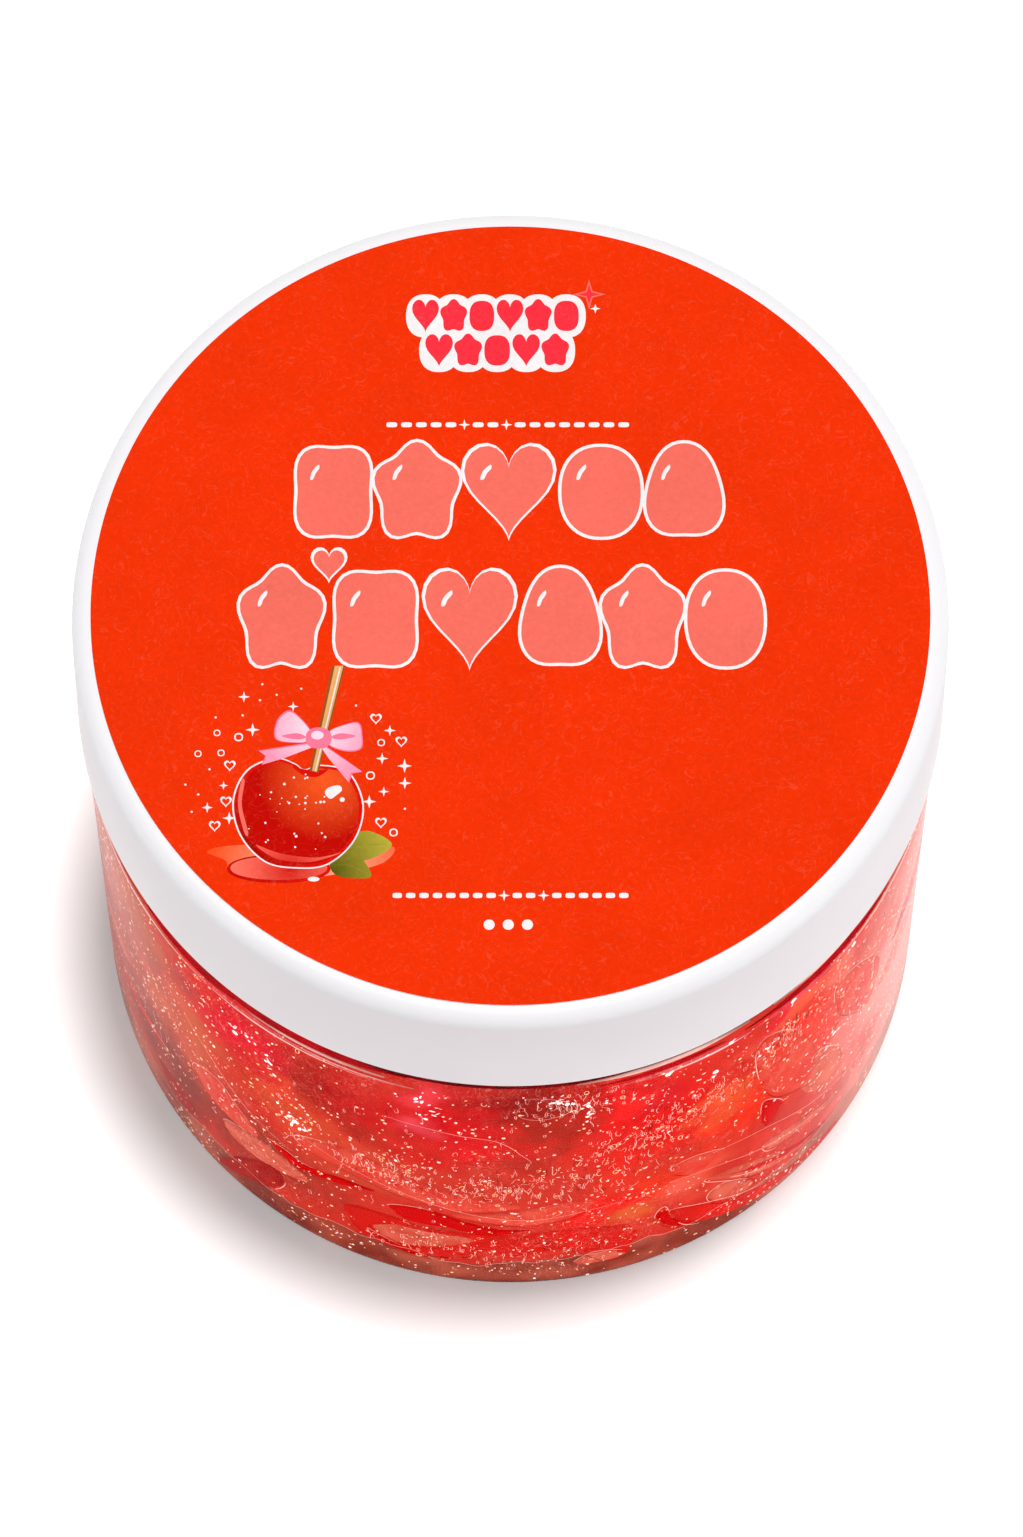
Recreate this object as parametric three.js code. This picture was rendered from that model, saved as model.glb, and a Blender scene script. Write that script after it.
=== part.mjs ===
// A wide, straight-sided clear jar of soft red filling, with a white screw lid and a round label on it.
// Millimetres, +Z up. The origin is the centre of the base, on the surface that the jar stands on.

import * as THREE from "three";

// Driving dimensions
const LID_TOP_Z = 72;
const LID_RADIUS = 36.5;
const LID_HEIGHT = 15;
const LID_EDGE_ROUND = 1.4;
const LID_PANEL = 1.6;
const LID_SKIRT_WALL = 1.3;
const LID_DRAFT = 0.25; // how much wider the skirt is at its lower edge

const JAR_RADIUS = 36.35;
const JAR_WALL = 0.9;
const BASE_ROUND = 2;
const BASE_THICKNESS = 1.5;
const PUNT_DEPTH = 1; // the middle of the base stands clear of the table by this much
const FOOT_WIDTH = 2.85;
const SHOULDER_ROUND = 3;
const SHOULDER_GAP = 1.2; // from the shoulder's flat top up to the lid's lower edge
const NECK_WALL = 1.2;
const HEADSPACE = 2.4;

const LABEL_RADIUS = 34.88;
const LABEL_THICKNESS = 0.15;

const SEGMENTS = 80;
const ARC_STEPS = 5;

// Sizes that follow from them
const MOUTH_Z = LID_TOP_Z - LID_PANEL;
const LID_LOWER_Z = LID_TOP_Z - LID_HEIGHT;
const SHOULDER_TOP_Z = LID_LOWER_Z - SHOULDER_GAP;
const SHOULDER_CENTRE_Z = SHOULDER_TOP_Z - SHOULDER_ROUND;
const NECK_RADIUS = JAR_RADIUS - SHOULDER_ROUND;
const FLOOR_Z = PUNT_DEPTH + BASE_THICKNESS;
const FILL_Z = MOUTH_Z - HEADSPACE;

/** Points on an arc in the profile plane, from one angle to another in degrees, both ends included. */
function arc(centreX, centreZ, radius, from, to) {
  const points = [];
  for (let i = 0; i <= ARC_STEPS; i++) {
    const angle = THREE.MathUtils.degToRad(from + ((to - from) * i) / ARC_STEPS);
    points.push(at(centreX + radius * Math.cos(angle), centreZ + radius * Math.sin(angle)));
  }
  return points;
}

function at(x, z) {
  return new THREE.Vector2(x, z);
}

/** A solid turned about +Z from a profile that runs anticlockwise, from the axis back to the axis. */
function turned(name, profile, material) {
  const geometry = new THREE.LatheGeometry(profile, SEGMENTS);
  geometry.rotateX(Math.PI / 2);
  const mesh = new THREE.Mesh(geometry, material);
  mesh.name = name;
  return mesh;
}

/** The jar's inner surface, from the middle of its floor up to a height in the neck. */
function cavity(topZ) {
  const wallX = JAR_RADIUS - JAR_WALL;
  const cornerRound = BASE_ROUND - 0.4;
  const neckX = NECK_RADIUS - NECK_WALL;
  return [
    at(0, FLOOR_Z),
    ...arc(wallX - cornerRound, FLOOR_Z + cornerRound, cornerRound, -90, 0),
    ...arc(NECK_RADIUS, SHOULDER_CENTRE_Z, SHOULDER_ROUND - JAR_WALL, 0, 90),
    at(neckX, SHOULDER_TOP_Z - JAR_WALL),
    at(neckX, topZ),
  ];
}

/** The clear jar: a blow-moulded shell with a raised middle in its base, a round shoulder and an open neck. */
function makeJar() {
  const footX = JAR_RADIUS - BASE_ROUND;
  const puntX = footX - FOOT_WIDTH;
  const outside = [
    at(0, PUNT_DEPTH),
    at(puntX - PUNT_DEPTH, PUNT_DEPTH),
    at(puntX, 0),
    ...arc(footX, BASE_ROUND, BASE_ROUND, -90, 0),
    ...arc(NECK_RADIUS, SHOULDER_CENTRE_Z, SHOULDER_ROUND, 0, 90),
    at(NECK_RADIUS, MOUTH_Z),
  ];
  const material = new THREE.MeshStandardMaterial({
    color: 0xf6eeee,
    roughness: 0.06,
    metalness: 0,
    transparent: true,
    opacity: 0.35,
  });
  return turned("jar", [...outside, ...cavity(MOUTH_Z).reverse()], material);
}

/** The soft filling, which takes the jar's inner shape up to a level just below the mouth. */
function makeFilling() {
  const material = new THREE.MeshStandardMaterial({
    color: 0xd2281e,
    roughness: 0.3,
    metalness: 0,
  });
  return turned("filling", [...cavity(FILL_Z), at(0, FILL_Z)], material);
}

/** The white lid: a flat panel that sits on the mouth, with a rounded edge and a smooth skirt. */
function makeLid() {
  const skirtX = LID_RADIUS + LID_DRAFT;
  const insideX = LID_RADIUS - LID_SKIRT_WALL;
  const roundX = LID_RADIUS - LID_EDGE_ROUND;
  const lip = 0.3;
  const profile = [
    at(0, MOUTH_Z),
    at(insideX, MOUTH_Z),
    at(insideX, LID_LOWER_Z),
    at(skirtX - lip, LID_LOWER_Z),
    at(skirtX, LID_LOWER_Z + lip),
    ...arc(roundX, LID_TOP_Z - LID_EDGE_ROUND, LID_EDGE_ROUND, 0, 90),
    at(0, LID_TOP_Z),
  ];
  const material = new THREE.MeshStandardMaterial({
    color: 0xf3f2f4,
    roughness: 0.42,
    metalness: 0,
  });
  return turned("lid", profile, material);
}

/** The round printed label, stuck flat on the lid's top. */
function makeLabel() {
  const topZ = LID_TOP_Z + LABEL_THICKNESS;
  const profile = [
    at(0, LID_TOP_Z),
    at(LABEL_RADIUS, LID_TOP_Z),
    at(LABEL_RADIUS, topZ),
    at(0, topZ),
  ];
  const material = new THREE.MeshStandardMaterial({
    color: 0xf53f10,
    roughness: 0.6,
    metalness: 0,
  });
  return turned("label", profile, material);
}

const group = new THREE.Group();
group.add(makeJar());
group.add(makeFilling());
group.add(makeLid());
group.add(makeLabel());

export default group;
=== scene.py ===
"""A clear jar of soft, glittery red filling, with a white screw lid and a printed label."""

import math
import random

import bpy
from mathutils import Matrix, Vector, geometry, noise


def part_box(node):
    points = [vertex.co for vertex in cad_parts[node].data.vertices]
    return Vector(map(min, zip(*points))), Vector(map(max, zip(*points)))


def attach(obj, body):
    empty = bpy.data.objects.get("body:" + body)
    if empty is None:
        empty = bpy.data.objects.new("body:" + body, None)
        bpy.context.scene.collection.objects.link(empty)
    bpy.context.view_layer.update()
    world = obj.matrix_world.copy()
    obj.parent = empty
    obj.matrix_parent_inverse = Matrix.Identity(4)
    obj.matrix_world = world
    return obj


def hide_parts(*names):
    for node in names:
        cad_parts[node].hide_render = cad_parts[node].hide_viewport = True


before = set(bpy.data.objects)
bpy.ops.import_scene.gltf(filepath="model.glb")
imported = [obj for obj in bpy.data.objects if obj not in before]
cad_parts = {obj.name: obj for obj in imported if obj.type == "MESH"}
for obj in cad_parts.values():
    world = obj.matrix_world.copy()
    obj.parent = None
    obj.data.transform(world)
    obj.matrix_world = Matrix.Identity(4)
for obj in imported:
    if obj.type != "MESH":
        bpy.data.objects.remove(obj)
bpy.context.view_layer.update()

scene = bpy.context.scene
MM = 0.001


# --- Jar -------------------------------------------------------------------------------------
# A straight-sided jar of clear PET, stretch-blow-moulded in one piece. Its base has a flat foot
# ring round a raised middle, its shoulder is round and its neck stands hidden inside the lid.

JAR_WALL = 0.9 * MM
BASE_ROUND = 2.0 * MM
BASE_THICKNESS = 1.5 * MM
PUNT_DEPTH = 1.0 * MM
FOOT_WIDTH = 2.85 * MM
SHOULDER_ROUND = 3.0 * MM
SHOULDER_GAP = 1.2 * MM
NECK_WALL = 1.2 * MM
HEEL_THICKNESS = 0.55 * MM  # the floor round its edge, where the plastic was stretched most
HEEL_ROUND = 1.75 * MM
HEEL_START = 5.0 * MM  # in from the wall, where the floor starts to dip
HEEL_END = 3.6 * MM
RIPPLE = 11.11 * MM  # from one soft wave of the blown wall to the next
HEAD_ON_SHINE = 0.003  # the share of light that the wall mirrors where it is seen straight on
SLANTED_SHINE = 0.46  # and where it is seen edge on
TURN_STEPS = 288

jar_low, jar_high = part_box("jar")
lid_low, lid_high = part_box("lid")
jar_radius = jar_high.x
mouth_z = jar_high.z
shoulder_z = lid_low.z - SHOULDER_GAP - SHOULDER_ROUND
neck_radius = jar_radius - SHOULDER_ROUND
inner_radius = jar_radius - JAR_WALL
floor_z = jar_low.z + PUNT_DEPTH + BASE_THICKNESS


def arc(centre_x, centre_z, radius, start, end, steps=10):
    """Points of an arc in the profile plane, from one angle to another in degrees."""
    angles = [math.radians(start + (end - start) * i / steps) for i in range(steps + 1)]
    return [(centre_x + radius * math.cos(a), centre_z + radius * math.sin(a)) for a in angles]


def make_object(name, points, faces, smooth_under=40):
    """A mesh object, shaded smooth except across edges sharper than the angle in degrees."""
    mesh = bpy.data.meshes.new(name)
    mesh.from_pydata(points, [], faces)
    mesh.validate()
    mesh.shade_smooth()
    mesh.set_sharp_from_angle(angle=math.radians(smooth_under))
    made = bpy.data.objects.new(name, mesh)
    scene.collection.objects.link(made)
    return made


def turned(name, profile, steps=TURN_STEPS):
    """A closed solid of revolution. The profile runs anticlockwise from the axis to the axis."""
    rings = profile[1:-1]
    points = [(0, 0, profile[0][1])]
    for radius, height in rings:
        for i in range(steps):
            turn = 2 * math.pi * i / steps
            points.append((radius * math.cos(turn), radius * math.sin(turn), height))
    points.append((0, 0, profile[-1][1]))
    last = len(points) - 1
    faces = []
    for i in range(steps):
        j = (i + 1) % steps
        faces.append((0, 1 + j, 1 + i))
        for k in range(len(rings) - 1):
            a, b = 1 + k * steps, 1 + (k + 1) * steps
            faces.append((a + i, a + j, b + j, b + i))
        top = 1 + (len(rings) - 1) * steps
        faces.append((top + i, top + j, last))
    return make_object(name, points, faces)


def cavity(top_z, grow=0.0):
    """The jar's inner profile from the middle of its floor up to a height, grown outwards."""
    inner = inner_radius + grow
    low = floor_z - grow
    heel = jar_low.z + HEEL_THICKNESS - grow
    neck_inner = neck_radius - NECK_WALL + grow
    profile = [(0, low), (inner - HEEL_START, low), (inner - HEEL_END, heel)]
    profile += arc(inner - HEEL_ROUND, heel + HEEL_ROUND, HEEL_ROUND, -90, 0)
    profile += arc(neck_radius, shoulder_z, SHOULDER_ROUND - JAR_WALL + grow, 0, 90)
    profile += [(neck_inner, shoulder_z + SHOULDER_ROUND - JAR_WALL + grow), (neck_inner, top_z)]
    return profile


def linear(hex_colour, alpha=1.0):
    """An sRGB hex colour as the linear numbers that a shader takes."""
    parts = [int(hex_colour[i : i + 2], 16) / 255 for i in (1, 3, 5)]
    return [p / 12.92 if p <= 0.04045 else ((p + 0.055) / 1.055) ** 2.4 for p in parts] + [alpha]


def add(tree, kind, inputs=(), **settings):
    """Adds a node: its settings, then its inputs, each a plain value or another node's socket."""
    node = tree.nodes.new(kind)
    for name, value in settings.items():
        setattr(node, name, value)
    for key, value in dict(inputs).items():
        if isinstance(value, bpy.types.NodeSocket):
            tree.links.new(value, node.inputs[key])
        else:
            node.inputs[key].default_value = value
    return node


def new_material(name):
    """An empty node material and its output node."""
    made = bpy.data.materials.new(name)
    made.use_nodes = True
    made.node_tree.nodes.clear()
    return made, made.node_tree, add(made.node_tree, "ShaderNodeOutputMaterial")


def clear_pet(name):
    """Clear blow-moulded PET: it bends what lies behind it and mirrors mostly at a slant, which
    gives the jar's sides a pale veil. Light that falls through it onto the filling isn't bent."""
    material, tree, output = new_material(name)
    edge = add(tree, "ShaderNodeLayerWeight", {"Blend": 0.5})
    slant = add(tree, "ShaderNodeMapRange", {"Value": edge.outputs["Facing"], "From Min": 0.76})
    steep = add(tree, "ShaderNodeMath", {0: slant.outputs[0], 1: 1.6}, operation="POWER")
    share = {0: steep.outputs[0], 1: SLANTED_SHINE, 2: HEAD_ON_SHINE}
    share = add(tree, "ShaderNodeMath", share, operation="MULTIPLY_ADD")
    place = add(tree, "ShaderNodeTexCoord").outputs["Object"]
    ripple = add(tree, "ShaderNodeTexNoise", {"Vector": place, "Scale": 1 / RIPPLE, "Detail": 1.0})
    bump = {"Height": ripple.outputs["Fac"], "Strength": 0.12, "Distance": 0.6 * MM}
    bump = add(tree, "ShaderNodeBump", bump)
    bend = {"Color": linear("#FFFBFA"), "Roughness": 0.0, "IOR": 1.575}
    bend = add(tree, "ShaderNodeBsdfRefraction", bend)
    shine = {"Color": linear("#FFFFFF"), "Roughness": 0.06, "Normal": bump.outputs[0]}
    shine = add(tree, "ShaderNodeBsdfAnisotropic", shine)
    wall = {0: share.outputs[0], 1: bend.outputs[0], 2: shine.outputs[0]}
    wall = add(tree, "ShaderNodeMixShader", wall)
    ray = add(tree, "ShaderNodeLightPath")
    passing = add(tree, "ShaderNodeBsdfTransparent", {"Color": linear("#FDF8F8")})
    for kind in ("Is Diffuse Ray", "Is Shadow Ray"):
        wall = {0: ray.outputs[kind], 1: wall.outputs[0], 2: passing.outputs[0]}
        wall = add(tree, "ShaderNodeMixShader", wall)
    tree.links.new(wall.outputs[0], output.inputs["Surface"])
    return material


foot_x = jar_radius - BASE_ROUND
punt_x = foot_x - FOOT_WIDTH
outside = [(0, jar_low.z + PUNT_DEPTH), (punt_x - PUNT_DEPTH, jar_low.z + PUNT_DEPTH)]
outside += [(punt_x, jar_low.z)]
outside += arc(foot_x, jar_low.z + BASE_ROUND, BASE_ROUND, -90, 0)
outside += arc(neck_radius, shoulder_z, SHOULDER_ROUND, 0, 90, 20)
outside += [(neck_radius, mouth_z)]
jar = turned("clear_jar", outside + cavity(mouth_z)[::-1])
jar.data.materials.append(clear_pet("clear_pet_wall"))
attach(jar, "root")
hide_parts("jar")


# --- Filling ---------------------------------------------------------------------------------
# A soft, whipped, half-clear red mass, spooned in and pressed against the wall. It is unevenly
# coloured: deep red, coral and salmon run into each other. It reaches just into the jar's wall.

FILL_TOP_DROP = 2.4 * MM
INTO_WALL = 0.04 * MM
FOLD_RELIEF = 0.14 * MM
ROUND_STEPS = 480
WALL_STEPS = 160
FOOT_LEVEL = 7.0  # mm, the mean height of the lower edge over the clear foot
NECK_LEVEL = 54.1  # mm, from here up the mass lies in the shade of the lid
PAINTED_INNER_GLOW = 0.1  # a painted glow, for the light a cloudy mass carries through itself
CLOUD_WIDTH = 2.632 * MM  # from one streak of the stirred mass to the next
FILM_WIDTH = 1.5625 * MM  # coarser than the real films, which are too fine to show
FILM_PATCH = 9.09 * MM

# Soft stains in the mass at the front, the later ones over the earlier: angle from the front in
# degrees, height in mm, half width in degrees, half height in mm, colour.
STAINS = [
    # The next two are darker and browner: partly painted shade on the left side, away from the light.
    (-80, 32, 14, 26, "#B04A32"),
    (-64, 28, 12, 24, "#BE4E36"),
    # The next two are paler: partly painted reflection of the bright table on the right side.
    (80, 32, 9, 18, "#EC9C90"),
    (66, 24, 12, 26, "#F29A8E"),
    (-8, 27, 16, 5, "#DA3C2C"),
    (-20, 26, 8, 5, "#DE5036"),
    (-36, 18, 10, 6, "#A43A2A"),
    (-54, 16, 10, 9, "#8A3024"),
    (-48, 34, 5, 10, "#DC6038"),
    (-39, 45, 8, 6, "#EC2034"),
    (-26, 44, 7, 6, "#A81E14"),
    (-30, 33, 7, 5, "#E4502E"),
    (-9, 43, 13, 9, "#DC0616"),
    (13, 45, 8, 8, "#FA181C"),
    (24, 40, 9, 8, "#F01414"),
    (3, 50.5, 7, 3.5, "#8A0206"),
    (6, 43, 4, 6, "#B0281A"),
    (-12, 50, 4, 2, "#FA4450"),
    (-13, 42, 3, 3, "#F44C58"),
    (34, 30, 8, 5, "#F83214"),
    (21, 21, 7, 5, "#F23616"),
    (12, 19, 5, 4, "#FA1A18"),
    (26, 19, 5, 3, "#F46A52"),
    (42, 49, 6, 3, "#FE6E4E"),
    (44, 38, 7, 8, "#FA4232"),
    (55, 26, 5, 12, "#FA7A70"),
    (18, 15, 3, 2, "#E8642C"),
    (-50, 44, 4, 4, "#C83A34"),
    (-63, 46, 8, 6, "#C8603E"),
    (-58, 30, 4, 4, "#D8603C"),
    (-62, 18, 5, 4, "#9C3A2C"),
    (62, 40, 5, 5, "#EC6A58"),
    (60, 16, 5, 4, "#E4584A"),
    (-33, 38, 3, 3, "#F04A30"),
    (-21, 36, 4, 3, "#C22A1C"),
    (-5, 36, 5, 2.5, "#F01822"),
    (5, 34, 3, 3, "#C83224"),
    (16, 31, 4, 4, "#F4281C"),
    (20, 47, 3, 3, "#E01420"),
    (31, 36, 3, 4, "#FA5A2C"),
    (38, 50, 4, 2, "#F4283C"),
    (49, 47, 3, 4, "#F87C6A"),
]
NECK_COLOUR = "#6E0608"
SIDE_COLOURS = ["#E02A24", "#DC4A38", "#E65A34", "#C43426", "#F03440", "#D85A4A", "#EC2018"]


def on_wall(degrees, height, radius):
    """A point at an angle from the front, at a height, at a distance from the axis."""
    turn = math.radians(degrees)
    return Vector((radius * math.sin(turn), -radius * math.cos(turn), height))


def fold_height(point):
    """0 to 1: the folds' relief, long level rolls with finer creases across them."""
    bent = noise.noise(point * 90)
    rolls = noise.noise(Vector((point.x * 45, point.y * 45, point.z * 150 + bent * 2)))
    creases = 1 - abs(noise.noise(Vector((point.x * 160, point.y * 160, point.z * 330))))
    return min(1.0, max(0.0, 0.5 + 0.45 * rolls + 0.25 * (creases - 0.75)))


def side_stains(seed):
    """More stains like those at the front, round the sides and the back, in golden-ratio steps."""
    draw = random.Random(seed)
    found = []
    for n in range(60):
        angle = 75 + 210 * (n * 0.618 % 1)
        wide, high = draw.uniform(4, 13), draw.uniform(3, 10)
        found.append((angle, draw.uniform(6, 54), wide, high, draw.choice(SIDE_COLOURS)))
    return found


def foot_edge(place):
    """The height in mm of the wavy line where the mass leaves the jar's clear, thick foot."""
    flat = Vector((place.x, place.y, 0))
    return FOOT_LEVEL + 2.4 * noise.noise(flat * 140) + 0.9 * noise.noise(flat * 520)


def warp(point):
    """A soft shift that changes from place to place. It is the same in every run."""
    parts = ((9.3, -1.5, -7.9), (0.0, 0.0, 0.0), (6.3, 0.2, -2.7))
    return Vector([noise.noise(point + Vector(part)) for part in parts])


def paint_stains(piece):
    """Stores each point's colour on the mesh, for the filling's material."""
    stains = [(*stain[:4], linear(stain[4])) for stain in side_stains(8) + STAINS]
    ground, neck = linear("#DC3426"), linear(NECK_COLOUR)
    foot, pale_foot, painted_light_foot = linear("#84382A"), linear("#C0624C"), linear("#E89484")
    layer = piece.data.color_attributes.new("stains", "FLOAT_COLOR", "POINT")
    for point, entry in zip(piece.data.vertices, layer.data):
        place = point.co
        bend = warp(place * 160) + 0.6 * warp(place * 420)
        degrees = math.degrees(math.atan2(place.x, -place.y)) + 5 * bend.x
        height = place.z / MM + 3.0 * bend.z
        colour = ground
        for angle, level, wide, high, tint in stains:
            turn = (degrees - angle + 180) % 360 - 180
            if abs(turn) > 2.2 * wide or abs(height - level) > 2.2 * high:
                continue
            away = (turn / wide) ** 2 + ((height - level) / high) ** 2
            share = math.exp(-(away**1.5) * 0.8)
            colour = [c + share * (t - c) for c, t in zip(colour, tint)]
        share = min(1.0, max(0.0, place.z / MM - NECK_LEVEL))
        colour = [c + share * (n - c) for c, n in zip(colour, neck)]
        share = min(1.0, max(0.0, (foot_edge(place) - place.z / MM) / 0.4))
        blend = min(1.0, max(0.0, 0.5 + 1.2 * bend.y))
        under = [f + blend * (p - f) for f, p in zip(foot, pale_foot)]
        # The foot turns paler towards its right, the lit side: partly its own tone and partly painted light.
        bright = max(0.0, 1 - abs(degrees - 66) / 32)
        under = [u + 0.75 * bright * (b - u) for u, b in zip(under, painted_light_foot)]
        entry.color = [c + share * (f - c) for c, f in zip(colour, under)]


def make_filling():
    """The mass as one closed skin: floor, wall with folds, shoulder, neck and a soft top."""
    base = cavity(mouth_z - FILL_TOP_DROP, INTO_WALL)
    lengths = [0.0]
    for a, b in zip(base, base[1:]):
        lengths.append(lengths[-1] + math.dist(a, b))
    rings = []
    for k in range(1, WALL_STEPS + 1):
        want = lengths[-1] * k / WALL_STEPS
        n = next(i for i in range(1, len(lengths)) if lengths[i] >= want - 1e-9)
        t = (want - lengths[n - 1]) / (lengths[n] - lengths[n - 1])
        radius = base[n - 1][0] + t * (base[n][0] - base[n - 1][0])
        rings.append((radius, base[n - 1][1] + t * (base[n][1] - base[n - 1][1])))
    points = [(0, 0, base[0][1])]
    for radius, height in rings:
        flank = min(1.0, max(0.0, (radius - 0.97 * inner_radius) / (0.03 * inner_radius)))
        for i in range(ROUND_STEPS):
            turn = 360 * i / ROUND_STEPS
            push = FOLD_RELIEF * fold_height(on_wall(turn, height, radius)) * flank
            points.append(on_wall(turn, height, radius + push))
    points.append((0, 0, base[-1][1] + 1.2 * MM))
    last = len(points) - 1
    faces = []
    for i in range(ROUND_STEPS):
        j = (i + 1) % ROUND_STEPS
        faces.append((0, 1 + j, 1 + i))
        for k in range(len(rings) - 1):
            a, b = 1 + k * ROUND_STEPS, 1 + (k + 1) * ROUND_STEPS
            faces.append((a + i, a + j, b + j, b + i))
        top = 1 + (len(rings) - 1) * ROUND_STEPS
        faces.append((top + i, top + j, last))
    return make_object("red_filling", points, faces, 60)


def whipped_gel(name, main=None, second=None, films=0.5):
    """Whipped gel: cloudy and wet, with a painted glow from within, and fine pale curling films of air.
    Without a main colour it takes the colours stored on the mesh."""
    material, tree, output = new_material(name)
    place = add(tree, "ShaderNodeTexCoord").outputs["Object"]
    place = add(tree, "ShaderNodeMapping", {"Vector": place, "Scale": (1.0, 1.0, 0.55)}).outputs[0]
    cloud = {"Vector": place, "Scale": 1 / CLOUD_WIDTH, "Detail": 6.0, "Distortion": 0.8}
    cloud = add(tree, "ShaderNodeTexNoise", cloud).outputs["Fac"]
    share = add(tree, "ShaderNodeMapRange", {"Value": cloud, "From Min": 0.36, "From Max": 0.66})
    if main:
        colours = {0: share.outputs[0], 6: linear(main), 7: linear(second)}
    else:
        stored = add(tree, "ShaderNodeAttribute", attribute_name="stains").outputs["Color"]
        darker = {0: 0.16, 6: stored, 7: linear("#8C0404")}
        darker = add(tree, "ShaderNodeMix", darker, data_type="RGBA").outputs[2]
        paler = {0: 0.12, 6: stored, 7: linear("#FF4C3A")}
        paler = add(tree, "ShaderNodeMix", paler, data_type="RGBA").outputs[2]
        colours = {0: share.outputs[0], 6: darker, 7: paler}
    colour = add(tree, "ShaderNodeMix", colours, data_type="RGBA").outputs[2]
    film = {"Vector": place, "Scale": 1 / FILM_WIDTH, "Detail": 2.0, "Distortion": 2.2}
    film = add(tree, "ShaderNodeTexNoise", film).outputs["Fac"]
    off = add(tree, "ShaderNodeMath", {0: film, 1: 0.5}, operation="SUBTRACT")
    off = add(tree, "ShaderNodeMath", {0: off.outputs[0]}, operation="ABSOLUTE")
    line = {"Value": off.outputs[0], "From Min": 0.004, "From Max": 0.02, "To Min": films, "To Max": 0.0}
    line = add(tree, "ShaderNodeMapRange", line)
    patch = {"Vector": place, "Scale": 1 / FILM_PATCH, "Detail": 1.0}
    patch = add(tree, "ShaderNodeTexNoise", patch).outputs["Fac"]
    where = add(tree, "ShaderNodeMapRange", {"Value": patch, "From Min": 0.42, "From Max": 0.58})
    line = add(tree, "ShaderNodeMath", {0: line.outputs[0], 1: where.outputs[0]}, operation="MULTIPLY")
    colours = {0: line.outputs[0], 6: colour, 7: linear("#FFB8A6")}
    colour = add(tree, "ShaderNodeMix", colours, data_type="RGBA").outputs[2]
    bump = add(tree, "ShaderNodeBump", {"Height": cloud, "Strength": 0.5, "Distance": 0.4 * MM})
    gel = {
        "Base Color": colour,
        "Roughness": 0.2,
        "IOR": 1.38,
        "Specular IOR Level": 0.06,
        "Subsurface Weight": 0.15,
        "Subsurface Radius": (1.0, 0.25, 0.18),
        "Subsurface Scale": 0.8 * MM,
        "Emission Color": colour,
        "Emission Strength": PAINTED_INNER_GLOW,
        "Normal": bump.outputs[0],
    }
    gel = add(tree, "ShaderNodeBsdfPrincipled", gel)
    tree.links.new(gel.outputs[0], output.inputs["Surface"])
    return material


filling = make_filling()
paint_stains(filling)
filling.data.materials.append(whipped_gel("whipped_red_gel", films=0.22))
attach(filling, "root")
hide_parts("filling")


# --- Folds -----------------------------------------------------------------------------------
# Folded tongues of the same mass, flattened against the wall where a spoonful ended. Thin ones
# are clear deep red, those full of fine air are salmon or coral, and those that lie in shade are
# dark. Each has a rounded, crisp edge.

FOLD_ROOT = 35.40 * MM  # from the jar's axis, as are the two below
FOLD_FACE = 35.76 * MM
SEAM_DEPTH = 35.93 * MM
FOLD_EDGE = 0.5  # mm, how far in from its outline a tongue is rounded
FOLD_STEP = 0.022 * MM  # from the face of one layer to the next
GRID_STEP = 0.7  # mm
BACK_START = 66  # degrees from the front, where the random tongues begin
BACK_SPAN = 228
seams = []


def smooth_loop(corners, steps=6):
    """A closed curve through a few points."""
    outline = []
    count = len(corners)
    for n in range(count):
        p0, p1, p2, p3 = (Vector(corners[(n + k - 1) % count]) for k in range(4))
        for i in range(steps):
            t = i / steps
            bent = (2 * p0 - 5 * p1 + 4 * p2 - p3) * t * t + (3 * p1 - p0 - 3 * p2 + p3) * t**3
            point = 0.5 * (2 * p1 + (p2 - p0) * t + bent)
            outline.append((point.x, point.y))
    return outline


def inside(outline, x, y):
    """Whether a point lies inside a closed outline."""
    hit = False
    for (ax, ay), (bx, by) in zip(outline, outline[1:] + outline[:1]):
        if (ay > y) != (by > y) and x < ax + (bx - ax) * (y - ay) / (by - ay):
            hit = not hit
    return hit


def edge_distance(outline, x, y):
    """How far a point is from an outline."""
    best = 1e9
    for (ax, ay), (bx, by) in zip(outline, outline[1:] + outline[:1]):
        dx, dy = bx - ax, by - ay
        t = max(0.0, min(1.0, ((x - ax) * dx + (y - ay) * dy) / (dx * dx + dy * dy + 1e-12)))
        best = min(best, math.hypot(x - ax - t * dx, y - ay - t * dy))
    return best


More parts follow.
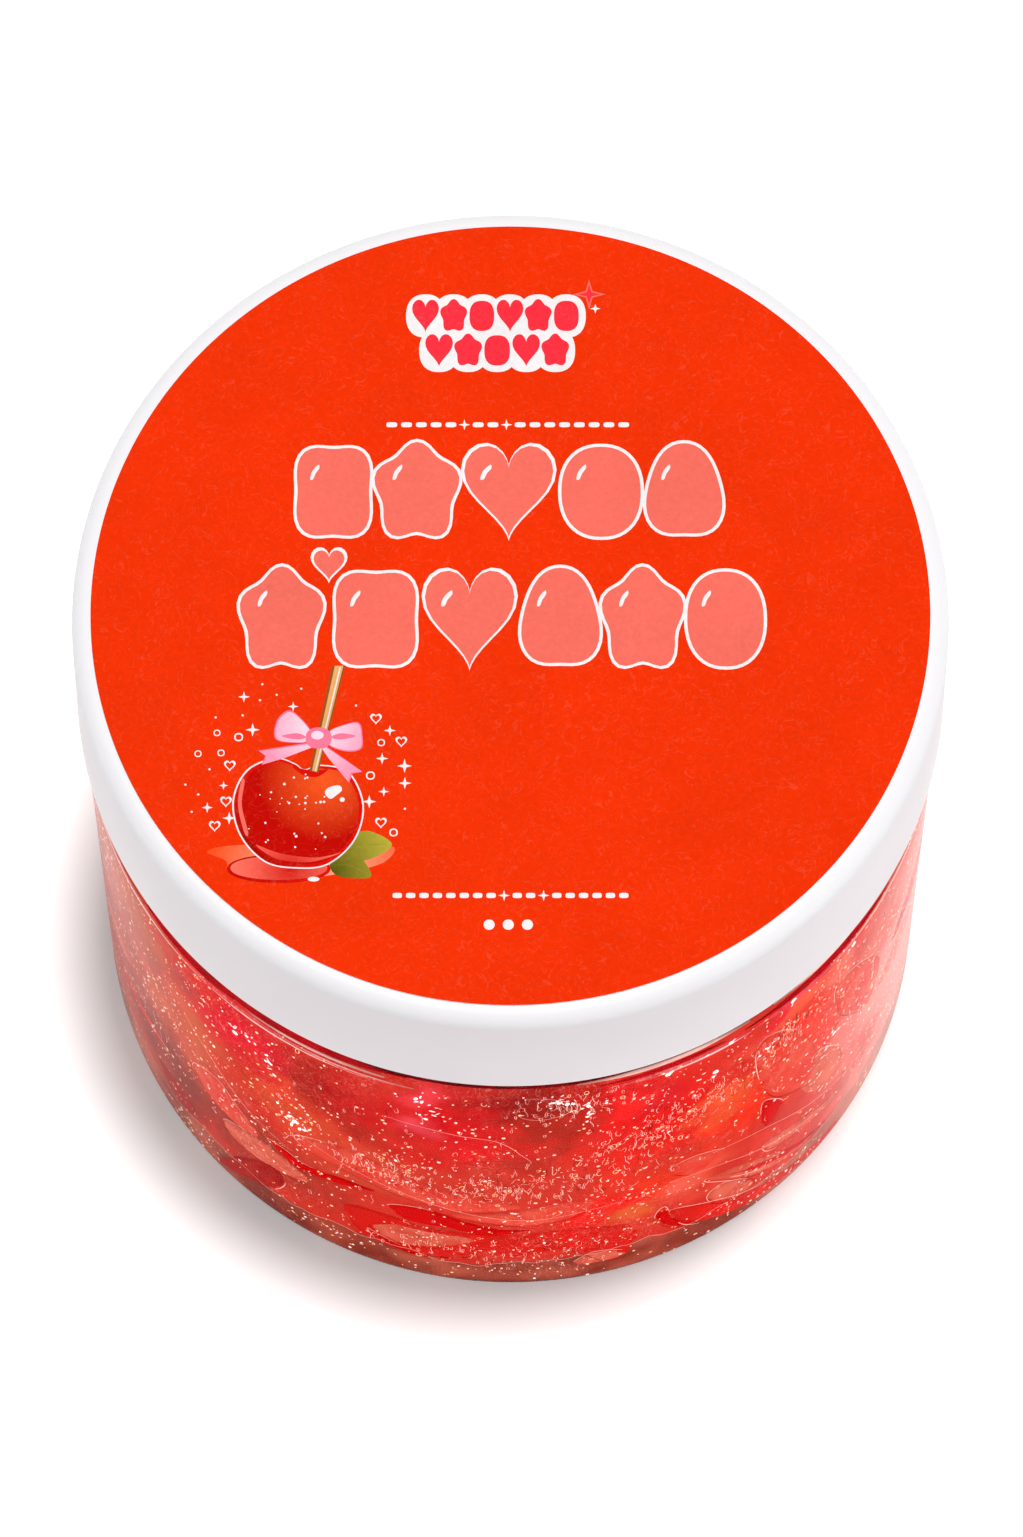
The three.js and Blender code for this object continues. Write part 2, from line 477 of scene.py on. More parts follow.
def tongue(points, faces, corners, layer):
    """Adds one closed tongue, from a few corners in degrees and mm. Its root is in the filling."""
    per_degree = math.radians(FOLD_FACE) / MM
    outline = [(a * per_degree, z) for a, z in smooth_loop(corners, 7)]
    seams.append([on_wall(x / per_degree, y * MM, SEAM_DEPTH) for x, y in outline])
    flat = [Vector(p) for p in outline]
    edges = [(i, (i + 1) % len(outline)) for i in range(len(outline))]
    xs, ys = [p[0] for p in outline], [p[1] for p in outline]
    x = min(xs) + GRID_STEP / 2
    while x < max(xs):
        y = min(ys) + GRID_STEP / 2
        while y < max(ys):
            if inside(outline, x, y) and edge_distance(outline, x, y) > 0.2:
                flat.append(Vector((x, y)))
            y += GRID_STEP
        x += GRID_STEP
    found, _, triangles, *_ = geometry.delaunay_2d_cdt(flat, edges, [], 1, 1e-6)
    first, count = len(points), len(found)
    face_radius = FOLD_FACE + layer * FOLD_STEP
    for side in (1, 0):
        for p in found:
            rise = min(1.0, edge_distance(outline, p.x, p.y) / FOLD_EDGE)
            lift = (1 - (1 - rise) ** 2) ** 0.5 * side
            radius = FOLD_ROOT - 0.15 * MM * (1 - side) * (rise > 0) + (face_radius - FOLD_ROOT) * lift
            points.append(on_wall(p.x / per_degree, p.y * MM, radius))
    border = {}
    for a, b, c in triangles:
        faces.append((first + a, first + b, first + c))
        faces.append((first + count + c, first + count + b, first + count + a))
        for edge in ((a, b), (b, c), (c, a)):
            border[edge] = border.get(edge, 0) + 1
    for a, b in border:
        if (b, a) not in border:
            faces.append((first + b, first + a, first + count + a, first + count + b))


def random_corners(draw, degrees, height, length, high):
    """The corners of a tongue like those at the front: long, level, blunt or pointed."""
    tilt = draw.uniform(-0.25, 0.25)
    corners = []
    for n in range(8):
        turn = 2 * math.pi * n / 8
        along = length * math.cos(turn) * draw.uniform(0.85, 1.15)
        across = high * math.sin(turn) * draw.uniform(0.6, 1.25)
        rise = along * math.sin(tilt) + across * math.cos(tilt)
        run = along * math.cos(tilt) - across * math.sin(tilt)
        corners.append((degrees + run * 1.6, height + rise))
    return corners


# The tongues at the front: corners in degrees from the front and mm above the table.
PALE_FRONT = [
    [(-20, 11.9), (-16, 14.2), (-11, 14.0), (-5.6, 13.9), (-4.4, 12.6), (-8.5, 10.2), (-14, 8.5),
     (-18.6, 9.0)],
    [(28.6, 12.6), (31, 14.0), (35, 11.2), (36.8, 8.0), (34, 7.0), (30, 9.2)],
    [(38, 17.6), (44, 15.8), (50, 13.4), (56, 11.6), (51, 11.0), (45, 12.6), (39, 14.4)],
    [(28, 17.6), (33, 16.6), (38.6, 13.4), (44, 9.6), (50, 7.2), (44, 7.2), (37, 10.0), (31, 14.6)],
    [(47, 31), (52, 26), (54, 20), (50, 18), (46, 21), (44, 26)],
    [(9, 6.2), (12, 8.0), (16, 6.6), (16.6, 4.8), (12.6, 4.4), (9.6, 4.8)],
    [(-44, 17.0), (-38, 19.4), (-32, 18.4), (-29, 15.6), (-36, 13.4), (-43, 13.6)],
]
BRIGHT_FRONT = [
    [(-3, 10.2), (1.3, 14.4), (6.2, 15.9), (14.3, 14.6), (17.4, 12.8), (18.2, 9.0), (16.8, 5.0),
     (13.4, 4.6), (8.3, 9.6), (5, 9.4), (1.3, 8.4)],
    [(-24, 14.4), (-18, 16.0), (-12, 15.0), (-5, 15.0), (2, 14.6), (-3, 10.0), (-8, 7.6), (-15, 6.6),
     (-22, 8.0)],
    [(22.9, 13.4), (29.5, 10.4), (36.2, 6.8), (44.7, 4.2), (53.3, 3.0), (53.5, 1.6), (44.9, 1.8),
     (35.4, 3.0), (28.3, 5.6), (24.7, 8.2)],
]
DEEP_FRONT = [
    [(-17.2, 18.9), (-13, 20.2), (-9, 19.4), (-5.6, 18.0), (-0.7, 16.5), (3.4, 16.4), (-2.8, 14.4),
     (-8.4, 15.4), (-13.7, 15.4), (-16.2, 16.6)],
    [(-35.9, 21.4), (-32.8, 21.5), (-29.6, 20.6), (-23.4, 21.7), (-18.5, 21.2), (-27.6, 18.6),
     (-32.4, 18.2)],
    [(20.9, 14.4), (22.2, 14.9), (23.6, 10.8), (27.3, 6.2), (22.9, 8.6), (20.7, 12.3)],
    [(-20.4, 10.2), (-18, 9.2), (-12, 7.2), (-6.5, 8.0), (-2.8, 9.4), (-8, 6.8), (-14.6, 6.0),
     (-19, 7.8)],
    [(36.9, 29.5), (38.8, 28.9), (41.1, 25.3), (39.2, 22.4), (37.3, 22.8)],
    [(30, 16.4), (38, 13.0), (46, 8.8), (53, 7.0), (46, 7.4), (38, 10.6)],
]
CORAL_FRONT = [
    [(-31, 27.4), (-25, 30), (-18, 29.6), (-11, 26.6), (-3, 24.6), (2, 22.6), (-6, 20.8), (-14, 21.8),
     (-22, 23.8), (-29, 25)],
    [(-9, 19.6), (0, 21.4), (7, 23.6), (12, 22.4), (9, 19.0), (2, 17.4)],
    [(35.1, 45.4), (37.3, 47.3), (41.9, 43.4), (47.0, 32.6), (47.6, 24.3), (43.1, 25.7), (38.8, 29.5),
     (36.0, 37.2)],
    [(-50, 24), (-45, 27), (-41, 24), (-37, 20), (-41, 18.4), (-47, 19.5)],
    [(22, 25), (26, 26), (31, 23.6), (29, 20.6), (25, 21.6)],
    [(50, 44), (56, 42), (62, 34), (60, 26), (55, 30), (51, 36)],
]
DARK_FRONT = [
    [(-46.1, 3.4), (-40.4, 11.1), (-35.4, 14.1), (-33.3, 11.7), (-35.8, 7.3), (-40.8, 4.4),
     (-44.9, 2.4)],
    [(-60, 10.5), (-54, 12.0), (-50, 9.0), (-55, 6.5)],
]


def fold_group(name, front, more, seed, material):
    """One kind of tongue: those at the front, and as many more round the sides and the back."""
    draw = random.Random(seed)
    points, faces = [], []
    for n, corners in enumerate(front):
        tongue(points, faces, corners, seed + n % 3)
    for n in range(more):
        degrees = BACK_START + BACK_SPAN * (n + draw.random()) / more
        height, length, high = draw.uniform(7, 42), draw.uniform(3, 8), draw.uniform(1.2, 3.6)
        tongue(points, faces, random_corners(draw, degrees, height, length, high), seed + n % 3)
    piece = make_object(name, points, faces, 75)
    piece.data.materials.append(material)
    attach(piece, "root")


fold_group("bright_folds", BRIGHT_FRONT, 12, 0, whipped_gel("pressed_red_gel", "#E41C14", "#D21A12", 0.25))
fold_group("pale_folds", PALE_FRONT, 14, 3, whipped_gel("airy_salmon_gel", "#D6503C", "#E86E58", 0.6))
fold_group("deep_folds", DEEP_FRONT, 14, 5, whipped_gel("thin_deep_red_gel", "#D00002", "#DE0404", 0.0))
fold_group("coral_folds", CORAL_FRONT, 8, 2, whipped_gel("pressed_coral_gel", "#E4382C", "#EC5A44", 0.4))
fold_group("dark_folds", DARK_FRONT, 6, 6, whipped_gel("shaded_red_gel", "#A80804", "#BC1810", 0.1))


# --- Films -----------------------------------------------------------------------------------
# What lies between the folds and the wall: fine pale strings of trapped air, thinner than a hair
# in places, dark creases that are painted shade, flat bubbles that show as rings, tiny round ones,
# pale painted highlights and dark painted shade along the folds' edges, and, under the jar's
# shoulder, bands of painted shade, painted highlight and painted reflection.

STRING_RADIUS = 0.034 * MM
STRING_DEPTH = 35.98 * MM
FILM_MOTTLE = 0.5556 * MM
BAND_STEP = 1.5  # degrees
BAND_ROOT = -0.3 * MM  # how far the bands reach into the filling

# Where films gather at the front: angle in degrees, height in mm, half width in degrees, half
# height in mm.
CURL_DRIFTS = [
    (-8, 27, 12, 4),
    (-20, 29, 8, 4),
    (2, 28, 8, 4),
    (12, 32, 7, 7),
    (20, 37, 6, 5),
    (29, 41, 7, 4),
    (-4, 9, 14, 3),
    (40, 44, 5, 3),
    (8, 49, 8, 3),
]
LONG_STRINGS = [
    [(-17, 42.5), (-12, 42.6), (-7, 41.8), (-2, 41.0), (1, 38.0), (1.5, 35.0)],
    [(-30, 29), (-22, 25.5), (-14, 23.0), (-6, 20.6), (2, 19.2), (9, 20.0), (14, 22.0)],
    [(-50, 36), (-46, 32), (-42, 28), (-38, 25), (-32, 23)],
    [(24, 21), (30, 20), (37, 17), (44, 14.4), (52, 12.6), (60, 11.0)],
    [(2, 52), (7, 51), (8, 48), (4, 46.5), (1, 48)],
    [(30, 24), (38, 22), (46, 18), (54, 15), (62, 13)],
]


def string(points, faces, path, thickness, closed=False):
    """Adds a closed four-sided tube along a path, or round a ring."""
    count = len(path)
    first = len(points)
    for n, place in enumerate(path):
        ahead = path[(n + 1) % count] if closed or n < count - 1 else place
        behind = path[n - 1] if closed or n > 0 else place
        along = (ahead - behind).normalized()
        outward = Vector((place.x, place.y, 0)).normalized()
        side = along.cross(outward).normalized()
        taper = 1.0 if closed else math.sin(math.pi * (n + 0.7) / (count + 0.4)) ** 0.5
        for k in range(4):
            turn = math.pi / 2 * k
            points.append(place + (outward * math.cos(turn) + side * math.sin(turn)) * thickness * taper)
    for n in range(count if closed else count - 1):
        a, b = first + 4 * n, first + 4 * ((n + 1) % count)
        for k in range(4):
            j = (k + 1) % 4
            faces.append((a + k, a + j, b + j, b + k))
    if not closed:
        faces.append((first, first + 3, first + 2, first + 1))
        end = first + 4 * (count - 1)
        faces.append((end, end + 1, end + 2, end + 3))


def drift_place(draw, loose=0.25):
    """A random place on the wall, mostly within the drifts where films gather."""
    if draw.random() < loose:
        return draw.uniform(-70, 290), draw.uniform(4, 52)
    if draw.random() < 0.55:
        angle, height, wide, high = draw.choice(CURL_DRIFTS)
    else:
        angle, height, wide, high = draw.uniform(60, 300), draw.uniform(8, 48), 8, 5
    return draw.gauss(angle, wide * 0.6), min(53.0, max(2.5, draw.gauss(height, high * 0.6)))


def make_curls(draw, count, long_ones=()):
    """Short curling strings, steered by a slowly changing turn, after the long ones given."""
    points, faces = [], []
    for ends in long_ones:
        curve = smooth_loop(ends, 8)[: 8 * (len(ends) - 1)]
        path = [on_wall(a, z * MM, STRING_DEPTH) for a, z in curve]
        string(points, faces, path, STRING_RADIUS)
    for _ in range(count):
        degrees, height = drift_place(draw)
        heading, turning = draw.uniform(0, 2 * math.pi), draw.gauss(0, 0.7)
        path = []
        for _ in range(draw.randint(4, 11)):
            path.append(on_wall(degrees, height * MM, STRING_DEPTH))
            degrees += 0.17 * math.cos(heading)
            rise = 0.34 if abs(degrees) < 75 else 0.2
            height = min(52.5, max(2.0, height + rise * math.sin(heading)))
            turning = max(-1.1, min(1.1, turning + draw.gauss(0, 0.6)))
            heading += turning
        string(points, faces, path, STRING_RADIUS * draw.uniform(0.45, 1.1))
    return points, faces


def make_bubbles(draw, count):
    """Flat bubbles' bright rims: small rings and hooks, tilted upwards, some of them drawn out."""
    points, faces = [], []
    for _ in range(count):
        degrees, height = drift_place(draw, 0.4)
        centre = on_wall(degrees, height * MM, STRING_DEPTH - 0.02 * MM)
        outward = Vector((centre.x, centre.y, 0)).normalized()
        side = outward.cross(Vector((0, 0, 1)))
        rise = Vector((0, 0, 1)) * draw.uniform(0.6, 1.0) - outward * draw.uniform(0.4, 0.7)
        size, long = draw.uniform(0.12, 0.3) * MM, draw.uniform(1.0, 2.2)
        whole, start = draw.random() < 0.3, draw.uniform(0, 2 * math.pi)
        span = 2 * math.pi if whole else draw.uniform(2.0, 4.6)
        ring = []
        for k in range(10):
            turn = start + span * k / 10
            ring.append(centre + size * (side * math.cos(turn) + rise * math.sin(turn) * long))
        string(points, faces, ring, STRING_RADIUS * draw.uniform(0.9, 1.5), closed=whole)
    return make_object("bubble_rims", points, faces, 80)


def bead(points, faces, centre, radius):
    """Adds one tiny round bubble: two poles with three rings of six points between them."""
    first = len(points)
    for level in (-0.6, 0.0, 0.6):
        reach = math.sqrt(1 - level * level)
        for k in range(6):
            turn = math.pi / 3 * k
            points.append(centre + radius * Vector((reach * math.cos(turn), reach * math.sin(turn), level)))
    low, high = len(points), len(points) + 1
    points.append(centre - Vector((0, 0, radius)))
    points.append(centre + Vector((0, 0, radius)))
    for k in range(6):
        j = (k + 1) % 6
        faces.append((low, first + j, first + k))
        faces.append((first + 12 + k, first + 12 + j, high))
        for ring in (first, first + 6):
            faces.append((ring + k, ring + j, ring + 6 + j, ring + 6 + k))


def make_beads(draw, count):
    """Round bubbles all over the wall, in loose chains and swarms."""
    points, faces = [], []
    made = 0
    while made < count:
        centre = on_wall(draw.uniform(0, 360), draw.uniform(3, 52.2) * MM, STRING_DEPTH)
        if draw.random() > 0.35 + 1.3 * noise.noise(centre * 170):
            continue
        bead(points, faces, centre, (0.06 + 0.13 * draw.random() ** 1.7) * MM)
        made += 1
    return make_object("air_beads", points, faces, 80)


def airy_film(name, colour, painted_glow):
    """Thin gel full of fine air: it scatters light, so that it shows as a pale, bright line, helped by a
    painted glow.
    """
    material, tree, output = new_material(name)
    place = add(tree, "ShaderNodeTexCoord").outputs["Object"]
    vary = {"Vector": place, "Scale": 1 / FILM_MOTTLE, "Detail": 1.0}
    vary = add(tree, "ShaderNodeTexNoise", vary)
    shade = {0: vary.outputs["Fac"], 6: linear(colour), 7: linear("#FFE6DC")}
    shade = add(tree, "ShaderNodeMix", shade, data_type="RGBA")
    film = {
        "Base Color": shade.outputs[2],
        "Roughness": 0.35,
        "Emission Color": linear(colour),
        "Emission Strength": painted_glow,
    }
    film = add(tree, "ShaderNodeBsdfPrincipled", film)
    tree.links.new(film.outputs[0], output.inputs["Surface"])
    return material


def make_seams(share, thickness):
    """Fine lines along the folds' edges: on their upper sides, or on their lower sides. Below, the upper ones
    are a pale painted highlight and the lower ones dark painted shade.
    """
    points, faces = [], []
    for outline in seams:
        middle = sum((p.z for p in outline), 0.0) / len(outline)
        run = []
        for n in range(2 * len(outline)):
            place = outline[n % len(outline)]
            wanted = (place.z - middle) * share > 0 and noise.noise(place * 300) > -0.15
            if wanted and len(run) < len(outline):
                run.append(place)
            if not wanted or n == 2 * len(outline) - 1:
                if len(run) > 4 and n >= len(outline) // 2:
                    string(points, faces, run, thickness)
                run = []
            if n > len(outline) and not run:
                break
    return points, faces


def make_foot_line():
    """The pale rim of the mass along its wavy lower edge, over the jar's clear foot."""
    points, faces = [], []
    path = []
    for n in range(900):
        place = on_wall(n * 0.4, 0, STRING_DEPTH)
        path.append(on_wall(n * 0.4, foot_edge(place) * MM, STRING_DEPTH - 0.1 * MM))
    string(points, faces, path, STRING_RADIUS, closed=True)
    return points, faces


def shoulder_band(points, faces, start, end, lows, high, lift):
    """A closed strip under the jar's shoulder, from and to an angle round the jar. Its lower edge
    at both ends and its upper edge are in mm along the wall from where the shoulder starts."""
    first, steps = len(points), int((end - start) / BAND_STEP)
    reach = SHOULDER_ROUND - JAR_WALL
    for n in range(steps + 1):
        share = n / steps
        turn = start + (end - start) * share
        low = lows[0] + (lows[1] - lows[0]) * share
        taper = 1.0 if end - start >= 360 else min(1.0, 0.04 + 3.2 * min(share, 1 - share))
        middle, half = (low + high) / 2, (high - low) / 2 * taper
        for level, depth in ((-1, BAND_ROOT), (-1, lift), (0, lift * 1.3), (1, lift), (1, BAND_ROOT)):
            along = (middle + level * half) * MM
            up, down = max(0.0, along / reach), min(0.0, along)
            out = neck_radius + (reach + depth) * math.cos(up)
            points.append(on_wall(turn, shoulder_z + down + (reach + depth) * math.sin(up), out))
    for n in range(steps):
        a, b = first + 5 * n, first + 5 * (n + 1)
        for k in range(5):
            j = (k + 1) % 5
            faces.append((a + k, b + k, b + j, a + j))
    faces.append(tuple(first + k for k in range(5)))
    faces.append(tuple(first + 5 * steps + k for k in reversed(range(5))))


def shoulder_bands(name, bands, material):
    """One kind of band under the shoulder."""
    points, faces = [], []
    for band in bands:
        shoulder_band(points, faces, *band)
    piece = make_object(name, points, faces, 50)
    piece.data.materials.append(material)
    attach(piece, "root")


# Painted shade: a dark band all round the neck, under the lid.
shoulder_bands(
    "neck_shade",
    [(-180, 180, (0.65, 0.65), 2.4, 0.16 * MM)],
    whipped_gel("neck_painted_shade_gel", "#640206", "#8A0408", 0.0),
)
shoulder_bands(
    "neck_red_line",
    [
        (-58, -40, (-0.5, -0.4), 0.5, 0.18 * MM),
        (-46, -14, (-0.1, 0.3), 0.9, 0.17 * MM),
        (12, 30, (-0.2, -0.3), 0.15, 0.16 * MM),
        (33, 62, (-0.4, -0.7), 0.2, 0.18 * MM),
        (100, 250, (-0.3, -0.3), 0.15, 0.16 * MM),
    ],
    whipped_gel("neck_red_gel", "#A8020C", "#C40612", 0.0),
)
# Painted reflection: pale pink bands where the shoulder mirrors the bright room.
shoulder_bands(
    "neck_painted_reflection_band",
    [
        (-54, -13, (-2.2, -1.0), -0.5, 0.17 * MM),
        (-42, -12, (-2.0, -1.2), -0.65, 0.2 * MM),
        (13, 36, (-1.0, -1.9), -0.35, 0.17 * MM),
        (31, 58, (-1.2, -2.4), -0.5, 0.18 * MM),
        (52, 68, (-1.9, -2.6), -0.6, 0.17 * MM),
        (95, 262, (-2.0, -2.0), -0.4, 0.17 * MM),
    ],
    whipped_gel("painted_reflection_pink_gel", "#DE3442", "#F0646A", 0.8),
)
# Painted shade: a thin dark line just under the lid at the sides.
shoulder_bands(
    "neck_painted_shade_line",
    [
        (-96, -54, (-0.4, 0.3), 2.0, 0.2 * MM),
        (56, 96, (0.4, 0.0), 2.0, 0.2 * MM),
    ],
    whipped_gel("neck_painted_shade_brown_gel", "#520C0C", "#6C1814", 0.0),
)
# Painted highlight: a pale orange line along the shoulder at the sides.
shoulder_bands(
    "neck_painted_highlight_line",
    [
        (-96, -50, (-2.0, -1.3), -0.4, 0.2 * MM),
        (52, 96, (-1.5, -2.2), -0.1, 0.2 * MM),
    ],
    whipped_gel("painted_highlight_orange_gel", "#CC4E38", "#DA6048", 0.2),
)
# Painted highlight: pale lines along the shoulder's rounding.
shoulder_bands(
    "neck_painted_highlight_air_line",
    [
        (-44, -20, (-1.7, -1.3), -1.15, 0.24 * MM),
        (-32, -13, (-0.9, -0.8), -0.65, 0.24 * MM),
        (-37, -17, (-0.2, -0.1), 0.08, 0.24 * MM),
        (-92, -45, (-1.6, -1.8), -1.3, 0.24 * MM),
        (9, 34, (0.5, 0.45), 0.8, 0.26 * MM),
        (38, 62, (0.5, 0.4), 0.75, 0.26 * MM),
        (20, 33, (-1.2, -1.5), -0.95, 0.24 * MM),
        (46, 92, (-1.6, -1.4), -1.1, 0.24 * MM),
        (120, 200, (0.5, 0.5), 0.8, 0.24 * MM),
    ],
    airy_film("painted_highlight_air_film", "#FFBCAC", 0.1),
)

strings = make_object("air_strings", *make_curls(random.Random(12), 1500, LONG_STRINGS), 80)
strings.data.materials.append(airy_film("airy_pink_film", "#FFC0AC", 0.22))
# Pale lines on the folds' upper edges: painted highlight.
painted_highlight_seams = make_object("painted_highlight_seams", *make_seams(1, STRING_RADIUS * 1.4), 80)
painted_highlight_seams.data.materials.append(strings.data.materials[0])
# Dark lines on the folds' lower edges, and dark creases: painted shade.
painted_shade_seams = make_object("painted_shade_seams", *make_seams(-1, STRING_RADIUS * 1.2), 80)
painted_shade_seams.data.materials.append(whipped_gel("painted_shade_red_gel", "#7A0406", "#8E0A0A", 0.0))
dark_strings = make_object("painted_shade_creases", *make_curls(random.Random(17), 300), 80)
dark_strings.data.materials.append(painted_shade_seams.data.materials[0])
bubbles = make_bubbles(random.Random(14), 240)
bubbles.data.materials.append(airy_film("bubble_edge_film", "#FFC880", 0.5))
beads = make_beads(random.Random(23), 1300)
beads.data.materials.append(airy_film("round_bubble_film", "#FFDCB8", 0.6))
foot_line = make_object("foot_line", *make_foot_line(), 80)
foot_line.data.materials.append(strings.data.materials[0])
for piece in (strings, painted_highlight_seams, painted_shade_seams, dark_strings, bubbles, beads, foot_line):
    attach(piece, "root")


# --- Glitter ---------------------------------------------------------------------------------
# Food-safe glitter stirred through the filling: small hexagons punched from metallised film,
# pale gold and silver white, lying every way round. Spots of larger white flakes are painted
# highlights on the wet mass.

FLAKE_THICKNESS = 0.03 * MM
FLAKE_DEPTH = 35.97 * MM  # from the jar's axis
FLAKE_SMALLEST = 0.16 * MM
FLAKE_LARGEST = 0.44 * MM
GLINT_SMALLEST = 0.34 * MM
GLINT_LARGEST = 0.7 * MM
CROWDED_LARGEST = 0.95 * MM  # in a spot of painted highlight of more than 16
GLITTER_GRAIN = 0.4 * MM


def flake(points, faces, centre, across, draw):
    """Adds one closed hexagonal flake that lies at random."""
    normal = Vector([draw.gauss(0, 1) for _ in range(3)]) + Vector((0, -0.6, 1.2))
    normal.normalize()
    side = normal.cross(Vector((0.3, 0.1, 1))).normalized()
    up = side.cross(normal)
    first = len(points)
    stretch = draw.uniform(0.45, 0.95)
    spin = draw.uniform(0, math.pi)
    for level in (-0.5, 0.5):
        for i in range(6):
            turn = spin + math.pi * i / 3
            offset = side * math.cos(turn) * stretch + up * math.sin(turn)
            points.append(centre + offset * across / 2 + normal * level * FLAKE_THICKNESS)
    low, high = list(range(first, first + 6)), list(range(first + 6, first + 12))
    faces.append(low[::-1])
    faces.append(high)
    for i in range(6):
        j = (i + 1) % 6
        faces.append((low[i], low[j], high[j], high[i]))


def glitter_film(name, colour, painted_glow):
    """Metallised polyester film: half mirror, half matt, with a painted glow, so that every flake shows as a
    bright spot.
    """
    material, tree, output = new_material(name)
    place = add(tree, "ShaderNodeTexCoord").outputs["Object"]
    vary = {"Vector": place, "Scale": 1 / GLITTER_GRAIN, "Detail": 1.0}
    vary = add(tree, "ShaderNodeTexNoise", vary)
    shade = {0: vary.outputs["Fac"], 6: linear(colour), 7: linear("#FFFFFF")}
    shade = add(tree, "ShaderNodeMix", shade, data_type="RGBA")
    film = {
        "Base Color": shade.outputs[2],
        "Metallic": 0.3,
        "Roughness": 0.35,
        "Emission Color": linear(colour),
        "Emission Strength": painted_glow,
    }
    film = add(tree, "ShaderNodeBsdfPrincipled", film)
    tree.links.new(film.outputs[0], output.inputs["Surface"])
    return material


def scatter_glitter(name, count, seed, material):
    """Flakes all round the wall, thicker in some drifts than in others."""
    draw = random.Random(seed)
    points, faces = [], []
    made = 0
    while made < count:
        if draw.random() < 0.8:
            turn = draw.uniform(0, 360)
        else:
            turn = draw.choice((-66, 66)) + draw.uniform(-22, 22)
        centre = on_wall(turn, draw.uniform(1.5, 52.6) * MM, FLAKE_DEPTH)
        drift = 0.45 + 1.1 * noise.noise(centre * 120) + 0.5 * noise.noise(centre * 400)
        if draw.random() > drift:
            continue
        size = FLAKE_SMALLEST + (FLAKE_LARGEST - FLAKE_SMALLEST) * draw.random() ** 1.8
        flake(points, faces, centre, size, draw)
        made += 1
    piece = make_object(name, points, faces, 20)
    piece.data.materials.append(material)
    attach(piece, "root")


white_film = glitter_film("silver_white_film", "#FFF0E6", 0.8)
gold_film = glitter_film("pale_gold_film", "#FFBE54", 0.65)
scatter_glitter("white_glitter", 2300, 5, white_film)
scatter_glitter("gold_glitter", 1900, 6, gold_film)

# Painted highlights at the front, each a spot of bright flakes: angle in degrees, height in mm, half
# width in degrees, half height in mm, number of flakes.
GLINT_SPOTS = [
    (-39, 46, 2.4, 1.6, 9),
    (-35, 43, 1.8, 2.2, 8),
    (-31, 31, 2.2, 2.6, 18),
    (-11, 46, 2, 2.4, 7),
    (7, 50.8, 1.8, 1.2, 12),
    (10.5, 47.5, 0.7, 2.6, 12),
    (50, 30, 1.6, 2.2, 6),
    (-12, 50, 1.2, 1.2, 5),
    (38, 44, 2.4, 1.4, 6),
    (27, 46, 1.4, 1, 3),
    (22, 52, 0.6, 0.6, 3),
    (31, 51.8, 0.5, 0.8, 4),
    (41, 51.5, 0.7, 0.8, 4),
    (53, 50.8, 0.8, 0.8, 4),
]


def make_glints():
    """Painted highlights: spots of larger bright flakes, a few at the front and more round the back."""
    draw = random.Random(21)
    spots = list(GLINT_SPOTS)
    spots += [(draw.uniform(105, 255), draw.uniform(12, 50), 3, 3, 22) for _ in range(14)]
    points, faces = [], []
    for degrees, height, wide, high, count in spots:
        largest = CROWDED_LARGEST if count > 16 else GLINT_LARGEST
        for _ in range(count):
            level = min(52.4, draw.gauss(height, high * 0.5))
            centre = on_wall(draw.gauss(degrees, wide * 0.5), level * MM, FLAKE_DEPTH)
            flake(points, faces, centre, draw.uniform(GLINT_SMALLEST, largest), draw)
    return make_object("painted_highlight_glints", points, faces, 20)


glints = make_glints()
glints.data.materials.append(glitter_film("painted_highlight_silver_film", "#FFFFFF", 1.0))
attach(glints, "root")


# --- Lid -------------------------------------------------------------------------------------
# A white screw lid of injection-moulded polypropylene: a flat panel on the jar's mouth, a small
# round at its top edge and a smooth skirt that widens slightly so that it leaves its mould.

LID_EDGE_ROUND = 1.4 * MM
LID_WALL = 1.3 * MM
LID_DRAFT = 0.25 * MM
LID_LIP = 0.2 * MM
ORANGE_PEEL = 1.111 * MM  # coarser than a real satin mould's grain, which is too fine to show
FLOW_CLOUD = 16.67 * MM


def moulded_polypropylene(name, main, second):
    """White polypropylene from a satin mould: soft gloss, a very faint orange peel."""
    material, tree, output = new_material(name)
    place = add(tree, "ShaderNodeTexCoord").outputs["Object"]
    peel = add(tree, "ShaderNodeTexNoise", {"Vector": place, "Scale": 1 / ORANGE_PEEL, "Detail": 3.0})
    flow = add(tree, "ShaderNodeTexNoise", {"Vector": place, "Scale": 1 / FLOW_CLOUD, "Detail": 2.0})
    flow = flow.outputs["Fac"]
    rough = {"Value": flow, "From Min": 0.3, "From Max": 0.7, "To Min": 0.38, "To Max": 0.48}
    rough = add(tree, "ShaderNodeMapRange", rough)
    colour = {0: flow, 6: linear(main), 7: linear(second)}
    colour = add(tree, "ShaderNodeMix", colour, data_type="RGBA")
    bump = {"Height": peel.outputs["Fac"], "Strength": 0.15, "Distance": 0.08 * MM}
    bump = add(tree, "ShaderNodeBump", bump)
    body = {
        "Base Color": colour.outputs[2],
        "Roughness": rough.outputs[0],
        "IOR": 1.49,
        "Specular IOR Level": 0.3,
        "Subsurface Weight": 0.2,
        "Subsurface Radius": (1.0, 0.9, 0.85),
        "Subsurface Scale": 1.5 * MM,
        "Normal": bump.outputs[0],
    }
    body = add(tree, "ShaderNodeBsdfPrincipled", body)
    tree.links.new(body.outputs[0], output.inputs["Surface"])
    return material


